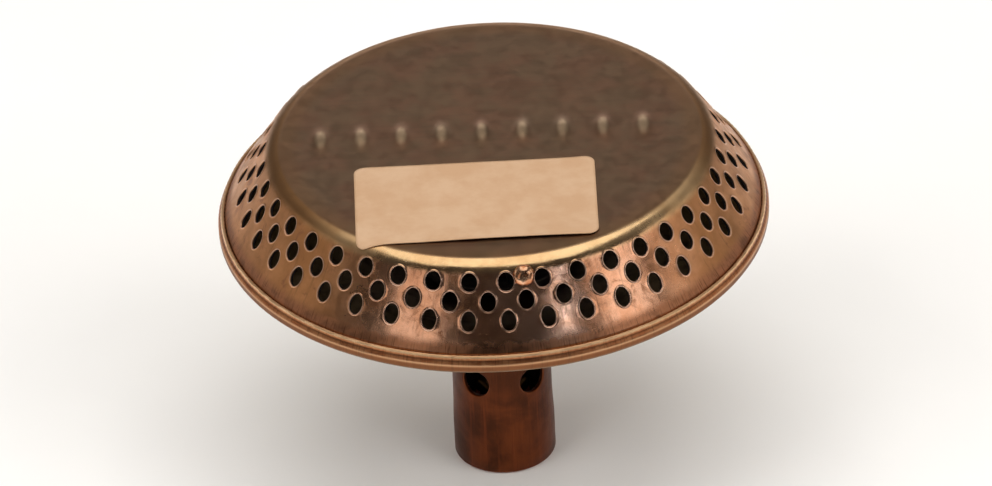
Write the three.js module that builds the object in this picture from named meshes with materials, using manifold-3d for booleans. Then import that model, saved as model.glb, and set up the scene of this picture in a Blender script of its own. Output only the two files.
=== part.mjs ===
// A pressed sheet-metal gas burner head on a short copper mixing tube, used as a lampwork torch.
// Millimetres, +Z up. The tube stands on z = 0 with its axis on Z, and the front of the torch is -Y.
// An azimuth is measured about Z from the front towards +X, and is given in degrees.
import * as THREE from 'three';
import { mergeVertices } from 'three/addons/utils/BufferGeometryUtils.js';
import Module from 'manifold-3d';

const wasm = await Module();
wasm.setup();

// ---------------------------------------------------------------- driving dimensions

const clearance = 0.3; // left between pieces that touch on the real torch

// Cap: one pressing with a flat crown, a rounded shoulder and a conical skirt.
const capSheet = 0.6;
const crownHeight = 57.8;
const shoulderRadius = 3.4;
const skirtSpread = 0.653; // millimetres outward for each millimetre down
const skirtTilt = Math.atan(skirtSpread); // the skirt's outward normal, above the horizontal
const skirtEnd = 46.0; // below this the sheet turns straight down, into the hem
const skirtBandBottom = 44.0;

// Flame ports: punched round in the flat blank, and drawn oval towards the rim.
const portsPerRow = 40;
const portPitch = 360 / portsPerRow;
const firstPortAzimuth = -6.86;
const topRow = { radius: 35.68, height: 55.2 };
const portRows = [
  { height: topRow.height, width: 2.69, length: 2.84, halfPitches: 0 },
  { height: 52.71, width: 2.42, length: 3.0, halfPitches: 1 },
  { height: 50.24, width: 2.26, length: 3.22, halfPitches: 0 },
];
const punch = { proud: 1, depth: 30 }; // how far each punch stands out of the skirt, and reaches in

// Plain oval pips pressed up in a row across the crown.
const pip = {
  count: 9, width: 3.2, length: 9, topShare: 0.64, height: 0.5, spacing: 6.25, centreX: -1.2, centreY: 1.8,
};

// Pan: the lower pressing. Its edge is folded up around the cap's band as the hem.
const panSheet = 0.5;
const rimRadius = 42.9;
const hemRadius = 1.33;
const hemHeight = 44.3;
const hemLipHeight = 45.7;
const hemArcEnd = THREE.MathUtils.degToRad(15); // where the hem's arc ends and its lip begins
const panSlope = THREE.MathUtils.degToRad(14.7);
const panFloor = 36.0;
const panFloorRadius = 14.5;
const panNeckBottom = 32.0;
const panNeckBend = 0.9;

// Mixing tube: a socket at the lower end, five air ports, a stop bead, and a flare over the pan.
const tubeRadius = 7.78;
const tubeWall = 0.8;
const socketRadius = 7.95;
const socketLength = 5.5;
const socketTaper = 6.0;
const stopBead = { height: 30.4, radius: 1.2 };
const flareHeight = 39.0;
const flareRadius = 10.4;
const flareBend = 1.0;
const airPort = { count: 5, azimuth: -33.5, height: 16.4, diameter: 4.7, drillLength: 3.4 };

// Seat ring and gauze, at the tube's mouth.
const seatRing = { bottom: 36.8, top: 38.2, radius: 12.5, chamfer: 0.9 };
const gauze = {
  bottom: 35.2, thickness: 1.2, radius: 6.68, rim: 0.9, wires: 5, wireWidth: 0.7, wireStep: 0.14,
};

// Baffle: a disc over the tube's mouth, on three arms that reach the skirt between two flame ports.
// The front arm is riveted. The other two are spot-welded to the skirt, which leaves no mark outside.
const baffle = {
  sheet: 0.6, height: 48.5, radius: 21, armWidth: 2.8, armRoot: 2, tabRise: 1.3, tabDrop: 1.75,
};
const rivet = {
  height: 55.85, headRadius: 1.55, headHeight: 0.95, shankRadius: 0.85, tailRadius: 1.3, tailLength: 0.6,
  drillLength: 4.8,
};
const armPitches = [1.5, 14.5, -12.5]; // port pitches from the first port of the top row

// Jet and its holder, inside the tube's lower end.
const holder = { bottom: 0.8, top: 9.6, radius: 6.65, threadRadius: 4.75, web: 3.0 };
const jet = {
  shankRadius: 2.5, shankBottom: 5.4, headBottom: 10.6, headTop: 12.6, tip: 14.1, boreRadius: 1.3,
};
const jetNeck = 0.5; // how far the shank runs up into the head
const jetAcrossFlats = 7;
const jetTip = { baseRadius: 2.6, radius: 1.3, orifice: 0.3, boreTop: 12.4, boreCone: 1 };
const jetWasher = { bottom: 9.9, top: 10.3, radius: 4.4 };
const jetFilter = { bottom: 5.9, length: 3.2, radius: 1.0 };

// Paper label, stuck on the front half of the crown.
const label = {
  left: -21.2, right: 15.9, front: -27.95, back: -6.72, corner: 1.6, thickness: 0.2, lift: 0.1,
};

// How finely each piece is faceted.
const facets = {
  cap: 2 * portsPerRow, pan: 54, tube: 36, ring: 36, gauze: 24, jet: 18, rivet: 10, pip: 12, port: 8,
  airPort: 14,
};
const arcSteps = { shoulder: 3, hem: 4, bead: 3, headDome: 3 };

// ---------------------------------------------------------------- shared geometry helpers

const point = (radius, height) => new THREE.Vector2(radius, height);

// Points along an arc in a profile, from one angle to another, both ends included.
function arc(centreRadius, centreHeight, radius, fromAngle, toAngle, steps) {
  return Array.from({ length: steps + 1 }, (_, index) => {
    const angle = fromAngle + ((toAngle - fromAngle) * index) / steps;
    return point(centreRadius + radius * Math.cos(angle), centreHeight + radius * Math.sin(angle));
  });
}

// The closed outline of a sheet of some thickness that is bent along a middle line.
function bentSheet(line, thickness) {
  const direction = (index) => line[index + 1].clone().sub(line[index]).normalize();
  const offsetLine = (side) => line.map((here, index) => {
    const arriving = direction(Math.max(index - 1, 0));
    const leaving = direction(Math.min(index, line.length - 2));
    const along = arriving.clone().add(leaving).normalize();
    const mitre = 1 / along.dot(arriving);
    return point(-along.y, along.x).multiplyScalar((side * mitre * thickness) / 2).add(here);
  });
  return [...offsetLine(-1), ...offsetLine(1).reverse()];
}

// A piece turned about the Z axis. The profile runs up its outside and down its inside.
function turned(profile, steps) {
  const onAxis = Math.abs(profile[0].x) < 1e-9;
  const outline = onAxis ? profile : [...profile, profile[0]];
  return new THREE.LatheGeometry(outline, steps).rotateX(Math.PI / 2);
}

// A turned ring of rectangular section.
const ring = (inner, outer, bottom, top, steps) => turned(
  [point(inner, bottom), point(outer, bottom), point(outer, top), point(inner, top)],
  steps,
);

// A flat outline in the XY plane, given a thickness upwards from a height.
function plate(shape, thickness, bottom) {
  const options = { depth: thickness, bevelEnabled: false, curveSegments: 6 };
  return new THREE.ExtrudeGeometry(shape, options).translate(0, 0, bottom);
}

// Turns a closed geometry into a solid that can be joined and cut.
function solidOf(geometry) {
  const bare = new THREE.BufferGeometry();
  bare.setAttribute('position', geometry.getAttribute('position'));
  bare.setIndex(geometry.getIndex());
  const merged = mergeVertices(bare, 1e-4);
  const index = Array.from(merged.getIndex().array);
  const corners = [];
  for (let start = 0; start < index.length; start += 3) {
    const [a, b, c] = index.slice(start, start + 3);
    if (a !== b && b !== c && c !== a) corners.push(a, b, c);
  }
  const vertProperties = new Float32Array(merged.getAttribute('position').array);
  const triVerts = new Uint32Array(corners);
  return new wasm.Manifold(new wasm.Mesh({ numProp: 3, vertProperties, triVerts }));
}

function geometryOf(solid) {
  const { vertProperties, triVerts } = solid.getMesh();
  const geometry = new THREE.BufferGeometry();
  geometry.setAttribute('position', new THREE.BufferAttribute(vertProperties, 3));
  geometry.setIndex(new THREE.BufferAttribute(triVerts, 1));
  geometry.computeVertexNormals();
  return geometry;
}

const cut = (geometry, cutters) => geometryOf(
  cutters.reduce((rest, cutter) => rest.subtract(solidOf(cutter)), solidOf(geometry)),
);

const join = (geometries) => geometryOf(
  geometries.map(solidOf).reduce((whole, piece) => whole.add(piece)),
);

const turnTo = (geometry, azimuth) => geometry.rotateZ(THREE.MathUtils.degToRad(azimuth));

// ---------------------------------------------------------------- where things are on the skirt

const skirtRadius = (height) => topRow.radius + skirtSpread * (topRow.height - height);

// A point in the profile, so far under the skirt's outer face.
const underSkirt = (height, depth) => point(
  skirtRadius(height) - depth * Math.cos(skirtTilt),
  height - depth * Math.sin(skirtTilt),
);

// Moves a geometry from the origin onto the skirt: its Z becomes the outward normal, its Y the slope.
function ontoSkirt(geometry, height, azimuth) {
  geometry.rotateX(Math.PI / 2 - skirtTilt);
  geometry.translate(0, -skirtRadius(height), height);
  return turnTo(geometry, azimuth);
}

const armAzimuths = armPitches.map((pitches) => firstPortAzimuth + pitches * portPitch);
const rivetAzimuth = armAzimuths[0];

// ---------------------------------------------------------------- the pieces

// A long tapering punch with its tip far inside, so that it leaves an almost straight oval hole.
function portPunch(row, azimuth) {
  const length = punch.proud + punch.depth;
  const cone = new THREE.ConeGeometry((0.5 * length) / punch.depth, length, facets.port);
  cone.rotateX(-Math.PI / 2).translate(0, 0, punch.proud - length / 2).scale(row.width, row.length, 1);
  return ontoSkirt(cone, row.height, azimuth);
}

function portPunches() {
  return portRows.flatMap((row) => Array.from({ length: portsPerRow }, (_, index) => (
    portPunch(row, firstPortAzimuth + portPitch * (index + row.halfPitches / 2))
  )));
}

function rivetHoleCutter() {
  const radius = rivet.shankRadius + clearance;
  const cutter = new THREE.CylinderGeometry(radius, radius, rivet.drillLength, facets.rivet);
  return ontoSkirt(cutter.rotateX(Math.PI / 2), rivet.height, rivetAzimuth);
}

function crownPips() {
  return Array.from({ length: pip.count }, (_, index) => {
    const x = pip.centreX + pip.spacing * (index - (pip.count - 1) / 2);
    const mound = new THREE.CylinderGeometry(pip.topShare / 2, 1 / 2, 2 * pip.height, facets.pip);
    mound.rotateX(Math.PI / 2).scale(pip.width, pip.length, 1);
    return mound.translate(x, pip.centreY, crownHeight);
  });
}

function burnerCap() {
  const arcHeight = crownHeight - shoulderRadius;
  const crownRadius = skirtRadius(arcHeight + shoulderRadius * Math.sin(skirtTilt))
    - shoulderRadius * Math.cos(skirtTilt);
  const knee = underSkirt(skirtEnd, capSheet / 2);
  const line = [
    point(0, crownHeight - capSheet / 2),
    ...arc(crownRadius, arcHeight, shoulderRadius - capSheet / 2, Math.PI / 2, skirtTilt, arcSteps.shoulder),
    knee,
    point(knee.x, skirtBandBottom),
  ];
  // Turned by a quarter pitch, so that every port lies inside one flat facet of the skirt.
  const shell = turnTo(turned(bentSheet(line, capSheet), facets.cap), firstPortAzimuth + portPitch / 4);
  return cut(join([shell, ...crownPips()]), [...portPunches(), rivetHoleCutter()]);
}

function burnerPan() {
  const middle = hemRadius - panSheet / 2;
  const neckRadius = tubeRadius + clearance + panSheet / 2;
  const floorMiddle = panFloor + panSheet / 2;
  const line = [
    point(neckRadius, panNeckBottom),
    point(neckRadius, floorMiddle - panNeckBend),
    point(neckRadius + panNeckBend, floorMiddle),
    point(panFloorRadius, floorMiddle),
    ...arc(rimRadius - hemRadius, hemHeight, middle, panSlope - Math.PI / 2, hemArcEnd, arcSteps.hem),
    point(skirtRadius(skirtEnd) + clearance + panSheet / 2, hemLipHeight),
  ];
  return turned(bentSheet(line, panSheet), facets.pan);
}

function mixingTube() {
  const middle = tubeRadius - tubeWall / 2;
  const line = [
    point(socketRadius - tubeWall / 2, 0),
    point(socketRadius - tubeWall / 2, socketLength),
    point(middle, socketLength + socketTaper),
    ...arc(middle, stopBead.height, stopBead.radius, -Math.PI / 2, Math.PI / 2, arcSteps.bead),
    point(middle, flareHeight - flareBend),
    point(middle + flareBend, flareHeight),
    point(flareRadius, flareHeight),
  ];
  const drills = Array.from({ length: airPort.count }, (_, index) => {
    const drill = new THREE.CylinderGeometry(
      airPort.diameter / 2, airPort.diameter / 2, airPort.drillLength, facets.airPort,
    );
    return turnTo(
      drill.translate(0, -tubeRadius, airPort.height),
      airPort.azimuth + (360 / airPort.count) * index,
    );
  });
  return cut(turned(bentSheet(line, tubeWall), facets.tube), drills);
}

// The ring that the tube's flare is rolled over. Its bore is chamfered to seat the flare.
function tubeSeatRing() {
  const bore = tubeRadius + clearance;
  return turned([
    point(bore, seatRing.bottom),
    point(seatRing.radius, seatRing.bottom),
    point(seatRing.radius, seatRing.top),
    point(bore + seatRing.chamfer, seatRing.top),
    point(bore, seatRing.top - seatRing.chamfer),
  ], facets.ring);
}

// A ring with coarse crossing wires. The wires run over each other and end inside the ring.
function tubeGauze() {
  const inner = gauze.radius - gauze.rim;
  const rim = ring(inner, gauze.radius, gauze.bottom, gauze.bottom + gauze.thickness, facets.gauze);
  const wires = Array.from({ length: gauze.wires }, (_, index) => {
    const offset = ((2 * inner) / (gauze.wires + 1)) * (index - (gauze.wires - 1) / 2);
    const length = 2 * Math.sqrt((inner + gauze.rim / 2) ** 2 - offset ** 2);
    const middle = gauze.bottom + gauze.thickness / 2;
    const across = new THREE.BoxGeometry(length, gauze.wireWidth, gauze.wireWidth);
    const along = new THREE.BoxGeometry(gauze.wireWidth, length, gauze.wireWidth);
    return [
      across.translate(0, offset, middle + gauze.wireStep),
      along.translate(offset, 0, middle - gauze.wireStep),
    ];
  });
  return join([rim, ...wires.flat()]);
}

// One arm of the baffle: outwards from the disc, up to the skirt, and along it as a tab.
function baffleArm(azimuth) {
  const depth = capSheet + clearance + baffle.sheet / 2;
  const onTab = (rise) => underSkirt(rivet.height, depth).add(
    point(-Math.sin(skirtTilt), Math.cos(skirtTilt)).multiplyScalar(rise),
  );
  const tabFoot = onTab(-baffle.tabDrop);
  const reach = (tabFoot.y - baffle.height) / Math.sin(skirtTilt);
  const elbow = point(tabFoot.x - reach * Math.cos(skirtTilt), baffle.height);
  const line = [point(baffle.radius - baffle.armRoot, baffle.height), elbow, tabFoot, onTab(baffle.tabRise)];
  const strip = new THREE.ExtrudeGeometry(
    new THREE.Shape(bentSheet(line, baffle.sheet)),
    { depth: baffle.armWidth, bevelEnabled: false },
  );
  strip.translate(0, 0, -baffle.armWidth / 2).rotateX(Math.PI / 2);
  return turnTo(strip, azimuth - 90);
}

function gasBaffle() {
  const disc = new THREE.CylinderGeometry(baffle.radius, baffle.radius, baffle.sheet, facets.tube);
  disc.rotateX(Math.PI / 2).translate(0, 0, baffle.height);
  return cut(join([disc, ...armAzimuths.map(baffleArm)]), [rivetHoleCutter()]);
}

function domedRivet() {
  const tailTop = -(capSheet + baffle.sheet + 2 * clearance);
  const tailBottom = tailTop - rivet.tailLength;
  const dome = Array.from({ length: arcSteps.headDome + 1 }, (_, index) => {
    const angle = (Math.PI / 2) * (index / arcSteps.headDome);
    return point(
      index === arcSteps.headDome ? 0 : rivet.headRadius * Math.cos(angle),
      clearance / 2 + rivet.headHeight * Math.sin(angle),
    );
  });
  const profile = [
    point(0, tailBottom),
    point(rivet.tailRadius, tailBottom),
    point(rivet.tailRadius, tailTop),
    point(rivet.shankRadius, tailTop),
    point(rivet.shankRadius, clearance / 2),
    ...dome,
  ];
  return ontoSkirt(turned(profile, facets.rivet), rivet.height, rivetAzimuth);
}

function jetHolder() {
  const webBottom = holder.top - holder.web;
  return turned([
    point(holder.threadRadius, holder.bottom),
    point(holder.radius, holder.bottom),
    point(holder.radius, holder.top),
    point(jet.shankRadius + clearance, holder.top),
    point(jet.shankRadius + clearance, webBottom),
    point(holder.threadRadius, webBottom),
  ], facets.ring);
}

function gasJet() {
  const body = turned([
    point(jet.boreRadius, jet.shankBottom),
    point(jet.shankRadius, jet.shankBottom),
    point(jet.shankRadius, jet.headBottom + jetNeck),
    point(jetTip.baseRadius, jet.headBottom + jetNeck),
    point(jetTip.baseRadius, jet.headTop),
    point(jetTip.radius, jet.tip),
    point(jetTip.orifice, jet.tip),
    point(jetTip.orifice, jetTip.boreTop),
    point(jet.boreRadius, jetTip.boreTop - jetTip.boreCone),
  ], facets.jet);
  const cornerRadius = jetAcrossFlats / Math.sqrt(3);
  const drillRadius = (jet.boreRadius + jet.shankRadius) / 2;
  const drillLength = 2 * (jet.headTop - jet.shankBottom);
  const drill = new THREE.CylinderGeometry(drillRadius, drillRadius, drillLength, facets.jet);
  drill.rotateX(Math.PI / 2).translate(0, 0, jet.headTop);
  const hex = new THREE.CylinderGeometry(cornerRadius, cornerRadius, jet.headTop - jet.headBottom, 6);
  hex.rotateX(Math.PI / 2).translate(0, 0, (jet.headTop + jet.headBottom) / 2);
  return join([cut(hex, [drill]), body]);
}

function jetFilterPlug() {
  const plug = new THREE.CylinderGeometry(jetFilter.radius, jetFilter.radius, jetFilter.length, facets.rivet);
  return plug.rotateX(Math.PI / 2).translate(0, 0, jetFilter.bottom + jetFilter.length / 2);
}

function paperLabel() {
  const { left, right, front, back, corner } = label;
  const shape = new THREE.Shape()
    .moveTo(left + corner, front)
    .lineTo(right - corner, front)
    .absarc(right - corner, front + corner, corner, -Math.PI / 2, 0)
    .lineTo(right, back - corner)
    .absarc(right - corner, back - corner, corner, 0, Math.PI / 2)
    .lineTo(left + corner, back)
    .absarc(left + corner, back - corner, corner, Math.PI / 2, Math.PI)
    .lineTo(left, front + corner)
    .absarc(left + corner, front + corner, corner, Math.PI, 1.5 * Math.PI);
  return plate(shape, label.thickness, crownHeight + label.lift);
}

// ---------------------------------------------------------------- materials and the assembled torch

const finish = (color, roughness, metalness) => (
  new THREE.MeshStandardMaterial({ color, roughness, metalness })
);
const tarnishedPlate = finish(0x9a7458, 0.34, 1);
const copper = finish(0x8a4526, 0.42, 1);
const brightCopper = finish(0xc98a5e, 0.22, 1);
const steel = finish(0x8c8580, 0.45, 1);
const brass = finish(0xb8934f, 0.35, 1);
const fibre = finish(0x8c3b2c, 0.85, 0);
const bronze = finish(0x8f6a3e, 0.7, 1);
const paper = finish(0xd0ad8b, 0.9, 0);

const torch = new THREE.Group();

function addPiece(name, geometry, material) {
  const mesh = new THREE.Mesh(geometry, material);
  mesh.name = name;
  torch.add(mesh);
}

addPiece('burner_cap', burnerCap(), tarnishedPlate);
addPiece('burner_pan', burnerPan(), tarnishedPlate);
addPiece('mixing_tube', mixingTube(), copper);
addPiece('tube_seat_ring', tubeSeatRing(), steel);
addPiece('flashback_gauze', tubeGauze(), brass);
addPiece('gas_baffle', gasBaffle(), steel);
addPiece('baffle_rivet', domedRivet(), brightCopper);
addPiece('jet_holder', jetHolder(), brass);
addPiece('gas_jet', gasJet(), brass);
addPiece(
  'jet_washer',
  ring(jet.shankRadius + clearance, jetWasher.radius, jetWasher.bottom, jetWasher.top, facets.jet),
  fibre,
);
addPiece('jet_filter', jetFilterPlug(), bronze);
addPiece('paper_label', paperLabel(), paper);

export default torch;
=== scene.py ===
import math
import random

import bpy
from mathutils import Matrix, Vector, noise

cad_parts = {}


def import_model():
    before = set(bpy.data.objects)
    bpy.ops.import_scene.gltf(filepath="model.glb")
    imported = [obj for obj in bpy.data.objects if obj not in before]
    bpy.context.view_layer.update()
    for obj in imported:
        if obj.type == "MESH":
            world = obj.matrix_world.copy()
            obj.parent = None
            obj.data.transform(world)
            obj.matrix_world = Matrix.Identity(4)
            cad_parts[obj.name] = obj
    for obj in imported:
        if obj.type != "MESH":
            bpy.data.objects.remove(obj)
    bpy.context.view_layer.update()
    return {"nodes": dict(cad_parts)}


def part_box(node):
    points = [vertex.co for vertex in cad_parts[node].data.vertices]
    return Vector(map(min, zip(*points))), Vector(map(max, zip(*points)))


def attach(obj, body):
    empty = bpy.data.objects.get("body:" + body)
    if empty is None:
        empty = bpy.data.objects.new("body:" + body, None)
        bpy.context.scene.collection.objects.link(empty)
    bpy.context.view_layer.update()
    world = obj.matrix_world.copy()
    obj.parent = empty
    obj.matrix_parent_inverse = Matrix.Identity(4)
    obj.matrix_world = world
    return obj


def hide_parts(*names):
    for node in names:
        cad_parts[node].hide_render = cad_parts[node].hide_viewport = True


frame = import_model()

random.seed(7)

MM = 0.001


def box_of(node):
    low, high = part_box(node)
    return low / MM, high / MM


cap_low, cap_high = box_of("burner_cap")
pan_low, pan_high = box_of("burner_pan")
tube_low, tube_high = box_of("mixing_tube")
seat_low, seat_high = box_of("tube_seat_ring")
gauze_low, gauze_high = box_of("flashback_gauze")
holder_low, holder_high = box_of("jet_holder")
jet_low, jet_high = box_of("gas_jet")
washer_low, washer_high = box_of("jet_washer")
filter_low, filter_high = box_of("jet_filter")
label_low, label_high = box_of("paper_label")

# Cap: crown, shoulder and conical skirt.
LABEL_LIFT = 0.1
SHEET = 0.6
CROWN_HEIGHT = label_low.z - LABEL_LIFT
SHOULDER = 3.4
SPREAD = 0.653
TILT = math.atan(SPREAD)
KNEE_HEIGHT = cap_low.z + 2.0
TOP_ROW_HEIGHT = cap_low.z + 11.2
TOP_ROW_RADIUS = 35.68
KNEE_RADIUS = TOP_ROW_RADIUS + SPREAD * (TOP_ROW_HEIGHT - KNEE_HEIGHT)
ARC_CENTRE_HEIGHT = CROWN_HEIGHT - SHOULDER
CONE_TOP_HEIGHT = ARC_CENTRE_HEIGHT + SHOULDER * math.sin(TILT)
CONE_TOP_RADIUS = TOP_ROW_RADIUS + SPREAD * (TOP_ROW_HEIGHT - CONE_TOP_HEIGHT)
CROWN_RADIUS = CONE_TOP_RADIUS - SHOULDER * math.cos(TILT)
SHOULDER_ARC = SHOULDER * (math.pi / 2 - TILT)
KNEE_SLIDE = SHOULDER_ARC + (CONE_TOP_HEIGHT - KNEE_HEIGHT) / math.cos(TILT)

# Flame ports: (height, opening width, opening length, half pitches).
PORTS = 40
PITCH = 360 / PORTS
FIRST_PORT = -6.86
PORT_ROWS = (
    (TOP_ROW_HEIGHT, 2.46, 2.9, 0),
    (cap_low.z + 8.71, 2.4, 3.06, 1),
    (cap_low.z + 6.24, 2.26, 3.2, 0),
)
CELL_STEPS = 10  # mesh steps across a port's cell
CELL_SIDE_STEPS = 4
CELL_WAVE = 0.5
FIELD_TOP = 2.45
FIELD_BOTTOM = 12.75
LIP_WIDTH = 0.31
BURR_REACH = 0.3  # how much wider than outside a port is inside
# The brightness marks bare burr metal and a painted highlight on each port's lip.
LIP = (  # outward from the opening's edge, height over the skirt, brightness
    (0.31, 0.0, 0.0), (0.26, 0.01, 0.0), (0.2, 0.04, 0.3), (0.13, 0.07, 1.0), (0.05, 0.06, 1.0),
    (0.0, 0.02, 0.6), (-0.02, -0.1, 0.0), (-0.02, -0.5, 0.0), (0.06, -0.62, 0.0),
)

# Pips pressed up across the crown.
PIPS = 9
PIP_WIDTH, PIP_LENGTH, PIP_RISE = 3.2, 9.0, 0.46
PIP_SPACING, PIP_X, PIP_Y = 6.25, -1.2, 1.8

# Pan and hem.
PAN_SHEET = 0.5
RIM_RADIUS = 42.9
HEM_RADIUS = 1.33
HEM_HEIGHT = cap_low.z + 0.3
PAN_SLOPE = math.radians(14.7)
PAN_FLOOR = pan_low.z + 4.0
PAN_FLOOR_RADIUS = 14.5

# Tube.
TUBE_RADIUS, TUBE_WALL, SOCKET_RADIUS = 7.78, 0.8, 7.95
AIR_PORTS, AIR_PORT_AZIMUTH, AIR_PORT_RADIUS = 5, -33.5, 2.35
AIR_PORT_HEIGHT = tube_low.z + 16.4

RIVET_HEIGHT = cap_low.z + 11.85
RIVET_AZIMUTH = FIRST_PORT + 1.5 * PITCH


# Meshes

class Surface:
    """Collects faces by the places of their corners. Corners in one place are one vertex."""

    def __init__(self):
        self.index = {}
        self.points = []
        self.bright = []
        self.faces = []
        self.slots = []

    def corner(self, place, bright=0.0):
        key = (round(place[0], 4), round(place[1], 4), round(place[2], 4))
        if key not in self.index:
            self.index[key] = len(self.points)
            self.points.append(Vector(place) * MM)
            self.bright.append(bright)
        return self.index[key]

    def face(self, corners, slot=0):
        ring = [c for i, c in enumerate(corners) if c != corners[i - 1]]
        if len(ring) > 2:
            self.faces.append(ring)
            self.slots.append(slot)

    def band(self, upper, lower, slot=0):
        """Quads between two rows of corners, which run the same way."""
        for i in range(len(upper) - 1):
            self.face([upper[i], lower[i], lower[i + 1], upper[i + 1]], slot)

    def bands(self, rows, slot=0):
        """Quads between each row and the next, where the first row is the outermost or the topmost."""
        for upper, lower in zip(rows, rows[1:]):
            self.band(upper, lower, slot)

    def piece(self, name, materials, node, slot):
        mesh = bpy.data.meshes.new(name)
        mesh.from_pydata(self.points, [], self.faces)
        mesh.attributes.new("bright", "FLOAT", "POINT").data.foreach_set("value", self.bright)
        for material in materials:
            mesh.materials.append(material)
        mesh.polygons.foreach_set("material_index", self.slots)
        mesh.shade_smooth()
        mesh.update()
        made = bpy.data.objects.new(name, mesh)
        bpy.context.scene.collection.objects.link(made)
        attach(made, "root")
        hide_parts(node)
        return made


def around(azimuth, radius, height):
    angle = math.radians(azimuth)
    return Vector((radius * math.sin(angle), -radius * math.cos(angle), height))


def between(first, second, share):
    """The places part of the way from one list of pairs to another."""
    return [(a + (c - a) * share, b + (d - b) * share) for (a, b), (c, d) in zip(first, second)]


def smooth_step(low, high, value):
    share = min(1.0, max(0.0, (value - low) / (high - low)))
    return share * share * (3 - 2 * share)


def rough(place, size, seed=0.0):
    return noise.noise(Vector(place) / size + Vector((seed, seed * 1.7, -seed)))


def arc(centre_radius, centre_height, radius, start, end, steps):
    angles = [start + (end - start) * i / steps for i in range(steps + 1)]
    return [(centre_radius + radius * math.cos(a), centre_height + radius * math.sin(a)) for a in angles]


def sheet_outline(line, thickness, end_steps=4):
    """The closed outline of a sheet bent along a line, with rounded ends, up its right side first."""
    points = [Vector(p) for p in line]
    count = len(points)
    ways = [(points[i + 1] - points[i]).normalized() for i in range(count - 1)]
    sides = []
    for i in range(count):
        arriving, leaving = ways[max(i - 1, 0)], ways[min(i, count - 2)]
        along = (arriving + leaving).normalized()
        sides.append(Vector((-along.y, along.x)) * (thickness / 2 / along.dot(arriving)))
    right = [points[i] - sides[i] for i in range(count)]
    left = [points[i] + sides[i] for i in range(count)]
    inset = thickness * 0.3
    right[0], left[0] = right[0] + ways[0] * inset, left[0] + ways[0] * inset
    right[-1], left[-1] = right[-1] - ways[-1] * inset, left[-1] - ways[-1] * inset

    def rounded(middle, way, start):
        out = []
        for i in range(1, end_steps):
            turn = math.pi * i / end_steps
            out.append(middle + start * math.cos(turn) + way * inset * math.sin(turn))
        return out

    top = rounded((right[-1] + left[-1]) / 2, ways[-1], -sides[-1])
    bottom = rounded((right[0] + left[0]) / 2, -ways[0], sides[0])
    return [tuple(p) for p in right + top + left[::-1] + bottom]


def revolve(surface, outline, steps, shape=None, bright=None, closed=True):
    """Turns an outline about Z. shape(azimuth, radius, height) moves a point; bright(...) marks it."""
    shape = shape or (lambda azimuth, radius, height: (radius, height))
    bright = bright or (lambda azimuth, radius, height: 0.0)
    rows = []
    for radius, height in list(outline) + [outline[0]] * closed:
        row = []
        for i in range(steps + 1):
            azimuth = 360.0 * (i % steps) / steps
            at_radius, at_height = shape(azimuth, radius, height)
            place = around(azimuth, at_radius, at_height)
            row.append(surface.corner(place, bright(azimuth, radius, height)))
        rows.append(row)
    surface.bands(rows[::-1])


def turned(names, materials, outline, steps, shape=None, bright=None, closed=True):
    """A turned piece. Its names are its own, the CAD node's and the slot's; the slot's name is not used."""
    surface = Surface()
    revolve(surface, outline, steps, shape, bright, closed)
    name, node, slot = names
    return surface.piece(name, materials, node, slot)


# The cap

def meridian(slide):
    """Radius, height and normal angle of the cap's outer face, so far outwards from the crown's edge."""
    if slide <= 0:
        return CROWN_RADIUS + slide, CROWN_HEIGHT, math.pi / 2
    if slide < SHOULDER_ARC:
        angle = math.pi / 2 - slide / SHOULDER
        radius = CROWN_RADIUS + SHOULDER * math.cos(angle)
        return radius, ARC_CENTRE_HEIGHT + SHOULDER * math.sin(angle), angle
    down = slide - SHOULDER_ARC
    return CONE_TOP_RADIUS + down * math.sin(TILT), CONE_TOP_HEIGHT - down * math.cos(TILT), TILT


def pip_rise(x, y):
    rise = 0.0
    for i in range(PIPS):
        across = (x - PIP_X - PIP_SPACING * (i - (PIPS - 1) / 2)) / (PIP_WIDTH / 2)
        along = (y - PIP_Y) / (PIP_LENGTH / 2)
        reach = math.hypot(across, along)
        rise = max(rise, PIP_RISE * math.exp(-3.2 * reach ** 2.4))
    return rise


def dents(place, slide):
    """How far the hand-worked sheet stands off its true form."""
    if slide <= 0:
        flat = 0.05 * rough(place, 17.0, 3.0) * smooth_step(0, 6, -slide)
        return flat + pip_rise(place.x, place.y)
    skirt = smooth_step(0.6, 4.0, slide) * (1 - smooth_step(14.0, 15.4, slide))
    waves = 0.07 * rough(place, 7.0, 1.0) + 0.022 * rough(place, 2.8, 5.0)
    return skirt * waves


def draw_marks(azimuth, slide):
    """Short radial pleats that the drawing die left above the hem, deepest at the front right."""
    strength = smooth_step(13.8, 14.4, slide) * (1 - smooth_step(15.0, 15.4, slide))
    deepest = math.exp(-(((azimuth - 38) / 20) ** 2)) * (0.6 + noise.noise(around(azimuth, 6.0, 4.0)))
    return 0.02 * strength * deepest * math.cos(math.radians(azimuth) * 380)


def on_cap(azimuth, slide, height=0.0, worked=True):
    """A point over the cap's outer face, or under it where height is negative."""
    radius, level, angle = meridian(slide)
    place = around(azimuth, radius, level)
    normal = around(azimuth, math.cos(angle), math.sin(angle))
    if worked:
        height += dents(place, slide) + draw_marks(azimuth, slide)
    return place + normal * height


def slide_at(height):
    return SHOULDER_ARC + (CONE_TOP_HEIGHT - height) / math.cos(TILT)


ROW_SLIDES = [slide_at(row[0]) for row in PORT_ROWS]
LEVELS = [
    FIELD_TOP, (ROW_SLIDES[0] + ROW_SLIDES[1]) / 2, (ROW_SLIDES[1] + ROW_SLIDES[2]) / 2, FIELD_BOTTOM,
]


def border(level, azimuth, centre):
    """The border between two rows of ports. It waves, because the ports reach past each other."""
    if level in (0, 3):
        return LEVELS[level]
    return LEVELS[level] + CELL_WAVE * math.cos(math.radians(azimuth - centre) * PORTS)


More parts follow.
